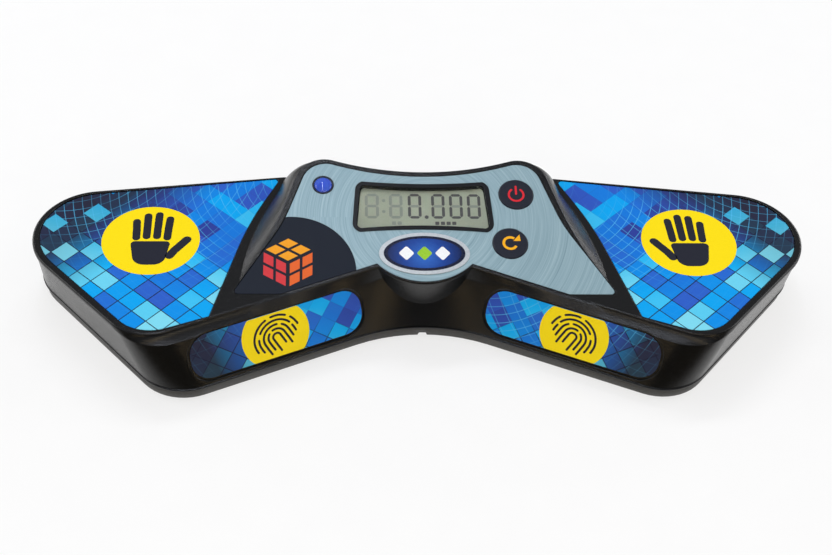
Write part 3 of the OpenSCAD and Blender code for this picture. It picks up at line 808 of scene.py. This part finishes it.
fine_rings, broad_rings = plate_rings(3000, 0.9, 0.7), plate_rings(900, 0.6, 0.6)
sheen = turned.total((fine_rings, 0.6), (broad_rings, 0.4))
plate_colour = turned.ramp(
    sheen, (0.30, ink(120, 149, 161)), (0.5, ink(146, 174, 185)), (0.70, ink(172, 198, 206))
)
patch, _, _ = distance_to(turned, u, v, (-48.5, -19 / TILT_COS))
printed = turned.math("LESS_THAN", patch, 23.7 * MM)
plate_colour = turned.mix(printed, plate_colour, ink(26, 32, 44))
turned.bump(sheen, 0.000012, 0.55)
turned.finish(
    Base_Color=plate_colour,
    Metallic=turned.math("MULTIPLY", turned.math("SUBTRACT", 1.0, printed), 0.25),
    Roughness=turned.spread(sheen, 0.3, 0.7, 0.36, 0.46),
    Specular_IOR_Level=turned.spread(printed, 0.0, 1.0, 0.4, 0.15),
)
dress(skin_of("console_faceplate", "face_plate", 0.00008), turned.material)


def printed_ink(name, colour, rough=0.36, speck=0.06):
    """A screen-printed colour, a little uneven."""
    r = Recipe(name)
    film = r.noise(r.place(), 1500, 2)
    r.bump(film, 0.000004, 0.4)
    paler = tuple(min(1, c * (1 + speck) + 0.002) for c in colour[:3]) + (1,)
    darker = tuple(c * (1 - speck) for c in colour[:3]) + (1,)
    rough = r.spread(film, 0.3, 0.7, rough - 0.03, rough + 0.03)
    return r.finish(Base_Color=r.mix(film, darker, paler), Roughness=rough, Specular_IOR_Level=0.2)


def plate_of(name, outline, low, high, put):
    """A thin flat piece from an outline, between two levels, put in place by a function."""
    rings = [[(x, y, low) for x, y in outline], [(x, y, high) for x, y in outline]]
    return grown(name, [settled(put(ring)) for ring in rings])


def joined(name, parts):
    """Several like pieces as one object."""
    deselect()
    for part in parts:
        part.select_set(True)
    bpy.context.view_layer.objects.active = parts[0]
    if len(parts) > 1:
        bpy.ops.object.join()
    whole = bpy.context.object
    whole.name = name
    return whole


PLATE_TOP = -0.2  # top of the face plate, below the rim of the console
INK, SUNK = 0.03, 0.02  # how far a print stands over its ground, thicker than life, and reaches into it


def mark(name, outline, ground):
    """A flat print on a ground at some level of the console face."""
    return plate_of(name, [tuple(p) for p in outline], ground - SUNK, ground + INK, on_face)


def block_sign(centre, size, shades):
    """Three faces of a cube, each cut into two by two tiles."""
    tiles, gap = {0: [], 1: [], 2: []}, 0.055
    ways = [(math.cos(math.radians(a)), math.sin(math.radians(a))) for a in (30, 150, 270)]
    for face in range(3):
        a, b = ways[face], ways[(face + 1) % 3]
        for i in range(2):
            for j in range(2):
                corners = []
                for p, q in ((i, j), (i + 1, j), (i + 1, j + 1), (i, j + 1)):
                    s = p / 2 + (gap if p == i else -gap)
                    t = q / 2 + (gap if q == j else -gap)
                    s, t = s + gap * 0.4, t + gap * 0.4
                    corners.append([centre[k] + size * (a[k] * s + b[k] * t) for k in (0, 1)])
                tiles[face].append(mark("tile", corners, PLATE_TOP))
    for face, shade in shades.items():
        sign = joined(f"corner_sign_{face + 1}", tiles[face])
        dress(sign, printed_ink(f"sign_ink_{face + 1}", shade))


block_sign((-49.5, -15.5), 10.5, {0: ink(238, 158, 20), 1: ink(206, 52, 58), 2: ink(224, 98, 34)})

# ---- display --------------------------------------------------------------
# A reflective liquid crystal cell behind a clear window, in a glossy black
# frame glued through the opening. Dark bars make the time, and the bars that
# are off show as faint grey ghosts on the grey-green cell.


def gloss(name, low, high, rough):
    """A smooth moulding or film with a faint veil of wear."""
    r = Recipe(name)
    veil = r.noise(r.place(), 1400, 3)
    r.bump(veil, 0.000003, 0.4)
    return r.finish(
        Base_Color=r.mix(veil, low, high), Roughness=r.spread(veil, 0.3, 0.7, rough - 0.02, rough + 0.03),
        Specular_IOR_Level=0.3,
    )


frame_gloss = gloss("frame_gloss", (0.008, 0.009, 0.011, 1), (0.013, 0.014, 0.017, 1), 0.16)
dress(skin_of("lcd_bezel", "display_frame", 0.00012, 3), frame_gloss)

clear = Recipe("clear_window")
smear = clear.noise(clear.place(), 160, 3)
clear.finish(
    Base_Color=(0.97, 0.985, 0.975, 1), Roughness=clear.spread(smear, 0.3, 0.7, 0.02, 0.05),
    Transmission_Weight=1.0, IOR=1.12, Specular_IOR_Level=0.5,
)
dress(skin_of("lcd_window", "display_window", 0.0), clear.material)

cell = Recipe("crystal_cell")
u, v, place = face_coordinates(cell)
cloud = cell.noise(place, 90, 3)
fine = cell.noise(place, 3200, 2)
tone = cell.total((cloud, 0.5), (fine, 0.5))
cell.bump(fine, 0.000004, 0.4)
cell.finish(Base_Color=cell.ramp(tone, (0.3, ink(150, 157, 140)), (0.7, ink(168, 174, 155))), Roughness=0.42)
dress(skin_of("lcd_panel", "display_cell", 0.0), cell.material)

# the front polariser fills the opening up to just under the window
CELL_TOP = -1.80
film = display_line(2.02)
polariser = face_block("display_polariser", [(film, -CEILING - 0.05), (film, CELL_TOP)])
dress(smoothed(polariser), cell.material)

BAR = 1.08
DIGIT_LOW, DIGIT_HIGH = 4.50, 15.35


def bar_outline(p, q):
    """A bar of a digit: a long hexagon from p to q."""
    p, q = np.array(p, float), np.array(q, float)
    d = unit(q - p)
    s = inward(d) * BAR / 2
    e = d * BAR / 2
    p, q = p + d * 0.12, q - d * 0.12
    return p, p + e - s, q - e - s, q, q - e + s, p + e + s


def digit_bars(left, right_edge):
    """The seven bars of a digit, keyed a to g."""
    l, r = left + 0.16 + BAR / 2, right_edge + 0.16 - BAR / 2
    b, t = DIGIT_LOW + BAR / 2, DIGIT_HIGH - BAR / 2
    m = (b + t) / 2
    ends = {"a": ((l, t), (r, t)), "b": ((r, m), (r, t)), "c": ((r, b), (r, m)), "d": ((l, b), (r, b)),
            "e": ((l, b), (l, m)), "f": ((l, m), (l, t)), "g": ((l, m), (r, m))}
    return {key: bar_outline(*value) for key, value in ends.items()}


lit, ghost = [], []
for left, right_edge, on in (
    (-21.6, -16.4, ""), (-12.6, -7.6, ""), (-5.6, -0.6, "abcdef"), (3.1, 8.1, "abcdef"),
    (9.8, 14.8, "abcdef"), (16.5, 21.5, "abcdef"),
):
    for key, outline in digit_bars(left, right_edge).items():
        (lit if key in on else ghost).append(mark("bar", outline, CELL_TOP))
middle = (DIGIT_LOW + DIGIT_HIGH) / 2
for dv in (-2.4, 2.4):
    ghost.append(mark("dot", disc((-14.45, middle + dv), 0.66, 20), CELL_TOP))
lit.append(mark("dot", disc((1.4, DIGIT_LOW + 0.65), 0.76, 20), CELL_TOP))
# small pad counters under the time: two pads, four pads
for x0, count, where in ((-11.5, 2, ghost), (4.5, 4, lit)):
    for k in range(count):
        x = x0 + 2.1 * k
        square = [(x, 1.75), (x + 1.5, 1.75), (x + 1.5, 3.2), (x, 3.2)]
        where.append(mark("pad_mark", rounded(square, [0.3] * 4, [4] * 4), CELL_TOP))
dress(joined("display_bars", lit), printed_ink("bar_dark", ink(80, 80, 82), 0.4))
dress(joined("display_ghosts", ghost), printed_ink("bar_ghost", ink(137, 144, 136), 0.42))

# ---- buttons and indicator ------------------------------------------------
# Two navy domed keys under one film each; a pale rim round each is a painted
# edge highlight. The power key has a red sign, the reset key an orange arrow.
# The lens on the left is a clear blue moulding in a dark ring.


def ribbon(name, points, width, low, high, put, caps=True):
    """A flat printed line of even width with round ends."""
    points = np.array(points, float)
    ways = np.gradient(points, axis=0)
    ways /= np.hypot(ways[:, 0], ways[:, 1])[:, None]
    sides = np.column_stack((-ways[:, 1], ways[:, 0])) * width / 2
    line = []
    for edge, tip, across in (
        (points - sides, points[-1], -sides[-1]),
        ((points + sides)[::-1], points[0], sides[0]),
    ):
        line += list(edge)
        if caps:
            base = math.atan2(across[1], across[0])
            turn = np.linspace(0, math.pi, 7)[1:-1]
            line += [tip + width / 2 * np.array((math.cos(base + t), math.sin(base + t))) for t in turn]
    return plate_of(name, [tuple(p) for p in line], low, high, put)


def arc(centre, radius, from_degrees, to_degrees, steps=24):
    return [(centre[0] + radius * math.cos(math.radians(a)), centre[1] + radius * math.sin(math.radians(a)))
            for a in np.linspace(from_degrees, to_degrees, steps)]


key_film = gloss("key_film", ink(26, 29, 40), ink(34, 37, 50), 0.3)
# a pale reddish rim colour: a painted highlight on each key's edge
key_rim_painted_highlight = gloss("key_rim_painted_highlight", ink(96, 84, 92), ink(120, 108, 112), 0.3)
KEY_TOP = 0.15
for node, name, centre, body in (
    ("power_button", "power_key_cap", POWER_AT, "power_key"),
    ("reset_button", "reset_key_cap", RESET_AT, "reset_key"),
):
    cap = dress(skin_of(node, name, 0.0001, 3), key_film, body)
    cap.data.materials.append(key_rim_painted_highlight)

power_ink = printed_ink("power_red", ink(214, 40, 52))
reset_ink = printed_ink("reset_orange", ink(246, 176, 28))
key_print = KEY_TOP - SUNK, KEY_TOP + INK, on_face
x, v = POWER_AT
sign = [
    ribbon("stroke", arc((x, v - 0.25), 2.75, 128, 412, 40), 0.78, *key_print),
    ribbon("stroke", [(x, v + 0.1), (x, v + 1.8), (x, v + 3.4)], 0.78, *key_print),
]
dress(joined("power_sign", sign), power_ink, "power_key")
x, v = RESET_AT
head = [(x + 1.1, v + 0.9), (x + 3.9, v + 0.9), (x + 3.5, v + 3.7)]
sign = [
    ribbon("stroke", arc((x, v), 2.45, 52, 330, 40), 1.0, *key_print, caps=False),
    mark("head", head, KEY_TOP),
]
dress(joined("reset_sign", sign), reset_ink, "reset_key")

blue_lens = Recipe("blue_lens")
depth = blue_lens.noise(blue_lens.place(), 420, 2)
blue_lens.finish(
    Base_Color=blue_lens.mix(depth, ink(24, 60, 225), ink(84, 130, 255)),
    Roughness=blue_lens.spread(depth, 0.3, 0.7, 0.05, 0.09),
    Transmission_Weight=0.35, IOR=1.49, Coat_Weight=0.6,
)
dress(skin_of("indicator_lens", "lens_dome", 0.0), blue_lens.material)

RING_OUT, RING_IN = 4.05, 3.42
collar = face_block("lens_collar", [
    (disc(LENS_AT, radius), PLATE_TOP + rise) for radius, rise in (
        (RING_OUT, -SUNK), (RING_OUT, 0.10), (RING_OUT - 0.12, 0.22),
        (RING_IN + 0.12, 0.22), (RING_IN, 0.12), (RING_IN, -SUNK),
    )
])
# its two end faces go, and a bridge between the rims left open closes the ring
pick(collar)
bpy.ops.object.mode_set(mode="EDIT")
bpy.ops.mesh.select_all(action="DESELECT")
bpy.ops.object.mode_set(mode="OBJECT")
for polygon in collar.data.polygons:
    polygon.select = len(polygon.vertices) > 4
bpy.ops.object.mode_set(mode="EDIT")
bpy.ops.mesh.select_mode(type="FACE")
bpy.ops.mesh.delete(type="ONLY_FACE")
bpy.ops.mesh.select_mode(type="VERT")
bpy.ops.mesh.select_all(action="DESELECT")
bpy.ops.mesh.select_non_manifold()
bpy.ops.mesh.bridge_edge_loops()
bpy.ops.mesh.select_all(action="SELECT")
bpy.ops.mesh.normals_make_consistent(inside=False)
bpy.ops.object.mode_set(mode="OBJECT")
dress(smoothed(collar), key_film)

# ---- nose badge -----------------------------------------------------------
# A printed and domed oval label on the round nose: a silver border, a navy
# line and a blue field. The field carries three plain lozenges.


BADGE_V = -11.6
BADGE_TOP = PLATE_TOP + 0.35


def oval(a, b):
    return [(a * math.cos(t), BADGE_V + b * math.sin(t)) for t in np.arange(96) * 2 * math.pi / 96]


silver = Recipe("badge_silver")
brush = silver.noise(silver.place(), 1800, 3)
silver.bump(brush, 0.000004, 0.5)
silver.finish(
    Base_Color=silver.mix(brush, ink(166, 174, 182), ink(212, 218, 223)), Roughness=0.3, Metallic=0.2,
)
dress(skin_of("nose_badge", "badge_plate", 0.00012, 3), silver.material)

field = Recipe("badge_blue")
u, v, place = face_coordinates(field)
reach, du, dv = distance_to(field, u, field.math("ADD", v, 0.001), (0, BADGE_V))
film = field.noise(place, 900, 2)
shade = field.total((reach, 70), (film, 0.12))
field.bump(film, 0.000004, 0.4)
field.finish(
    Base_Color=field.ramp(shade, (0.1, ink(46, 104, 196)), (0.55, ink(24, 66, 150)), (1.0, ink(14, 34, 84))),
    Roughness=0.24, Specular_IOR_Level=0.3,
)
navy = printed_ink("badge_navy", ink(22, 28, 54), 0.28)
dress(mark("badge_line", oval(14.9, 7.4), BADGE_TOP), navy)
blue = plate_of("badge_field", oval(13.5, 6.3), BADGE_TOP, BADGE_TOP + 2 * INK, on_face)
dress(blue, field.material)
white_ink, green_ink = ink(240, 243, 246), ink(150, 200, 50)
for k, (x, shade) in enumerate(((-6.6, white_ink), (0.0, green_ink), (6.6, white_ink))):
    corners = [(x - 2.9, BADGE_V), (x, BADGE_V - 3.1), (x + 2.9, BADGE_V), (x, BADGE_V + 3.1)]
    lozenge = [tuple(p) for p in rounded(corners, [0.7] * 4, [5] * 4)]
    piece = plate_of(f"badge_lozenge_{k + 1}", lozenge, BADGE_TOP + INK, BADGE_TOP + 3 * INK, on_face)
    dress(piece, printed_ink(f"lozenge_ink_{k + 1}", shade, 0.28))

# ---- hand and finger labels -----------------------------------------------
# Printed polycarbonate film, glued in the pockets over the touch sensors. The
# print is a mosaic of blue tiles that fades to black at the outer back, with
# fine pale arcs over it. Yellow discs show where the hands and fingers go.


def mosaic(name, u_way, v_way, origin, tile, slant, pale_from, dark_towards, dark_span, seed, arcs):
    """The tile print, laid out along two directions from an origin, in metres."""
    r = Recipe(name)
    place = r.place()
    origin = Vector(origin)
    u = r.along(place, u_way, origin.dot(Vector(u_way)))
    v = r.along(place, v_way, origin.dot(Vector(v_way)))
    c, s = math.cos(math.radians(slant)), math.sin(math.radians(slant))
    a = r.total((u, c / tile), (v, s / tile))
    b = r.total((u, -s / tile), (v, c / tile))
    cell_a, cell_b = r.math("FLOOR", a), r.math("FLOOR", b)
    chance = r.node("ShaderNodeTexWhiteNoise", noise_dimensions="3D")
    r.feed(chance.inputs["Vector"], r.pair(cell_a, cell_b, seed))
    luck = chance.outputs["Value"]
    # tiles are royal blue at the back and turn azure and pale cyan towards the front
    forwards = r.math("SUBTRACT", r.math("MULTIPLY", b, tile), r.math("MULTIPLY", a, -tile * 0.35))
    lower = r.spread(forwards, *pale_from)
    cloud = r.spread(r.noise(r.pair(cell_a, cell_b, seed + 0.5), 0.31, 1), 0.35, 0.65)
    tone = r.total((luck, 0.62), (lower, 0.22))
    tone = r.math("ADD", tone, r.math("MULTIPLY", cloud, 0.18))
    colour = r.ramp(
        tone, (0.08, ink(44, 62, 150)), (0.28, ink(46, 88, 192)), (0.44, ink(18, 116, 214)),
        (0.56, ink(0, 144, 230)), (0.68, ink(0, 172, 240)), (0.78, ink(72, 196, 236)),
        (0.88, ink(124, 214, 236)),
    )
    # one corner fades to black, save for a few tiles
    away = r.total((u, dark_towards[0]), (v, dark_towards[1]))
    fade = r.math("MULTIPLY", r.spread(away, *dark_span), r.spread(luck, 0.80, 0.86, 1.0, 0.30))
    colour = r.mix(r.math("MULTIPLY", fade, 0.94), colour, ink(36, 36, 44))
    # dark seams between the tiles, boldest at the front
    edge_a = r.math("MINIMUM", r.math("FRACT", a), r.math("SUBTRACT", 1.0, r.math("FRACT", a)))
    edge_b = r.math("MINIMUM", r.math("FRACT", b), r.math("SUBTRACT", 1.0, r.math("FRACT", b)))
    seam = r.spread(r.math("MINIMUM", edge_a, edge_b), 0.018, 0.036, 1.0, 0.0)
    strong = r.spread(lower, 0.30, 0.62, 0.10, 0.95)
    colour = r.mix(r.math("MULTIPLY", seam, strong), colour, ink(26, 28, 52))
    # pale arcs in two families, thin and mostly at the back
    cloudy = r.spread(r.noise(place, 22, 2), 0.40, 0.60)
    where = r.math("MULTIPLY", cloudy, r.spread(lower, 0.45, 0.85, 1.0, 0.12))
    for centre, pitch, share in arcs:
        reach, _, _ = distance_to(r, u, v, centre)
        turns = r.math("DIVIDE", reach, pitch * MM)
        near = r.math("ABSOLUTE", r.math("SUBTRACT", r.math("FRACT", turns), 0.5))
        line = r.spread(near, 0.10 / pitch, 0.19 / pitch, share, 0.0)
        colour = r.mix(r.math("MULTIPLY", line, where), colour, ink(86, 186, 236))
    film = r.noise(place, 1300, 2)
    r.bump(film, 0.000005, 0.45)
    return r.finish(Base_Color=colour, Roughness=r.spread(film, 0.3, 0.7, 0.30, 0.36), Specular_IOR_Level=0.2)


yellow = printed_ink("disc_yellow", ink(248, 220, 8), 0.33, 0.03)
hand_ink = printed_ink("hand_ink", ink(34, 36, 48), 0.33)
DISC_X, DISC_R = 100.0, 17.9


def flat(side):
    def put(points):
        return flipped(points, side)
    return put


def wall(side):
    def put(points):
        return on_wall(points, side)
    return put


def hand_sign(side):
    """A raised hand with the thumb towards the middle, drawn for the right pad."""
    put, low, high = flat(side), INK, 2 * INK
    x, y = DISC_X, -1.0
    parts = []
    for dx, foot, tip in ((-5.9, 2.3, 12.3), (-2.1, 2.9, 14.6), (1.7, 2.9, 13.9), (5.4, 2.2, 10.8)):
        line = [(x + dx, y + foot), (x + dx * 1.03, y + (foot + tip) / 2), (x + dx * 1.08, y + tip)]
        parts.append(ribbon("finger", line, 2.9, low, high, put))
    corners = [(x - 5.4, y - 11.8), (x + 5.4, y - 11.8), (x + 7.5, y + 0.4), (x - 7.3, y + 0.4)]
    palm = rounded(corners, [4.4, 4.4, 1.7, 1.5], [8] * 4)
    parts.append(plate_of("palm", [tuple(p) for p in palm], low, high, put))
    thumb = [(x - 13.2, y + 1.4), (x - 11.0, y - 1.6), (x - 8.9, y - 4.4), (x - 7.3, y - 7.2)]
    parts.append(ribbon("thumb", thumb, 3.3, low, high, put))
    return parts


FILM_TOP, FINGER_DISC_U = -0.5, 0.75  # face of a finger film below the wall, and how far out its disc sits


def finger_sign(side):
    """Ridges of a generic finger tip: nested arches with legs, cut by gaps and leaning over."""
    put, low, high = wall(side), FILM_TOP + INK, FILM_TOP + 2 * INK
    lean_over = math.radians(-24)
    c, s = math.cos(lean_over), math.sin(lean_over)
    arches = (
        (1.5, 4.0, 5.6, ()), (3.3, 5.6, 3.8, ((62, 84),)), (5.1, 3.6, 4.6, ((126, 140),)),
        (6.9, 2.6, 2.0, ((36, 45), (168, 175))), (8.7, 0.9, 0.6, ((96, 102), (150, 157))),
    )
    parts = []
    for radius, left_leg, right_leg, gaps in arches:
        path = [(-radius, -left_leg), (-radius * 1.01, -left_leg / 2)]
        marks = [None, None]
        for t in np.linspace(180, 0, 25):
            path.append((radius * math.cos(math.radians(t)), 0.94 * radius * math.sin(math.radians(t))))
            marks.append(t)
        path += [(radius * 1.01, -right_leg / 2), (radius, -right_leg)]
        marks += [None, None]
        stroke = []
        for (px, py), t in list(zip(path, marks)) + [((0, 0), -1)]:
            cut = t is not None and (t < 0 or any(g0 <= t <= g1 for g0, g1 in gaps))
            if cut:
                if len(stroke) > 2:
                    parts.append(ribbon("ridge", stroke, 0.84, low, high, put))
                stroke = []
            else:
                py -= 0.9
                stroke.append((FINGER_DISC_U + c * px - s * py, s * px + c * py))
    return parts


def clipped_disc(radius, half_height):
    """The finger disc, cut off at the label's top and bottom edges."""
    return [(x, max(-half_height, min(half_height, y))) for x, y in disc((FINGER_DISC_U, 0), radius, 96)]


for side, word in ((1, "right"), (-1, "left")):
    print_hand = mosaic(
        f"{word}_hand_print", (side, 0, 0), (0, 1, 0), settled([(side * DISC_X, 0, 0)])[0],
        tile=7.2 * MM, slant=43,
        pale_from=(0.014, -0.022), dark_towards=(0.75, 0.66), dark_span=(0.001, 0.023), seed=3.0,
        arcs=(((-62, 34), 3.4, 0.62), ((36, 52), 4.3, 0.5)),
    )
    dress(skin_of(f"{word}_hand_label", f"{word}_hand_film", 0.00005), print_hand)
    hand_disc = plate_of(f"{word}_hand_disc", disc((DISC_X, 0), DISC_R, 128), -SUNK, INK, flat(side))
    dress(hand_disc, yellow)
    dress(joined(f"{word}_hand_sign", hand_sign(side)), hand_ink)

    axes = finger_frame.to_3x3()
    u_way, v_way = axes @ Vector((1, 0, 0)), axes @ Vector((0, 1, 0))
    origin = finger_frame.translation
    if side < 0:
        u_way, v_way, origin = [Vector((-q.x, q.y, q.z)) for q in (u_way, v_way, origin)]
    print_finger = mosaic(
        f"{word}_finger_print", tuple(u_way), tuple(v_way), settled([tuple(origin)])[0],
        tile=6.2 * MM, slant=40,
        pale_from=(0.016, -0.012), dark_towards=(1.0, -0.25), dark_span=(0.004, 0.025), seed=7.0,
        arcs=(((-40, 30), 3.2, 0.6), ((30, 40), 4.4, 0.45)),
    )
    dress(skin_of(f"{word}_finger_label", f"{word}_finger_film", 0.00005), print_finger)
    ends = FILM_TOP - SUNK, FILM_TOP + INK
    dress(plate_of(f"{word}_finger_disc", clipped_disc(12.85, 8.66), *ends, wall(side)), yellow)
    dress(joined(f"{word}_finger_sign", finger_sign(side)), hand_ink)

# ---- data socket ----------------------------------------------------------
# A small round stereo socket on the board shows as a dark ring in the back
# wall, with its plated barrel inside.
socket_black = gloss("socket_black", (0.012, 0.012, 0.012, 1), (0.02, 0.02, 0.02, 1), 0.34)
dress(skin_of("data_jack", "data_socket", 0.0001), socket_black)

# ---- parts inside ---------------------------------------------------------
# The board hangs from the console on four screws, with the display holder,
# its connector strips, the two switches and the lamp on top of it. Copper
# foils lie behind the labels, and two cells stand between plated contacts.


def inside(node, material):
    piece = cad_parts[node]
    piece.data.materials.clear()
    piece.data.materials.append(material)


def plain_stuff(name, low, high, rough, scale):
    """A plain material, faintly mottled."""
    r = Recipe(name)
    mottle = r.noise(r.place(), scale, 3)
    r.bump(mottle, 0.00001, 0.5)
    worn = r.spread(mottle, 0.3, 0.7, rough - 0.05, rough + 0.05)
    return r.finish(Base_Color=r.mix(mottle, low, high), Roughness=worn)


STUFFS = {  # stuff: its nodes, the two colours of its mottle, its roughness, and mottles for each metre
    "board_green": (["main_board"], (0.012, 0.12, 0.04), (0.03, 0.2, 0.075), 0.4, 260),
    "holder_white": (["lcd_holder"], (0.68, 0.68, 0.64), (0.78, 0.78, 0.74), 0.5, 500),
    "connector_pink": (["lcd_connectors"], (0.5, 0.3, 0.36), (0.6, 0.4, 0.46), 0.7, 500),
    "switch_black": (["power_switch", "reset_switch"], (0.03, 0.03, 0.033), (0.06, 0.06, 0.065), 0.45, 500),
    "lamp_resin": (["indicator_led"], (0.75, 0.78, 0.82), (0.88, 0.9, 0.93), 0.2, 500),
    "cell_sleeve": (["batteries"], (0.05, 0.2, 0.09), (0.09, 0.29, 0.14), 0.35, 500),
}
for name, (nodes, low, high, rough, scale) in STUFFS.items():
    stuff = plain_stuff(name, (*low, 1), (*high, 1), rough, scale)
    for node in nodes:
        inside(node, stuff)
foil = metal("copper_foil", (0.72, 0.42, 0.24, 1), 0.35, 300)
for pad in ("left_hand", "left_finger", "right_hand", "right_finger"):
    inside(f"{pad}_sensor", foil)
for node in ("battery_contacts", "board_screws"):
    inside(node, plated)
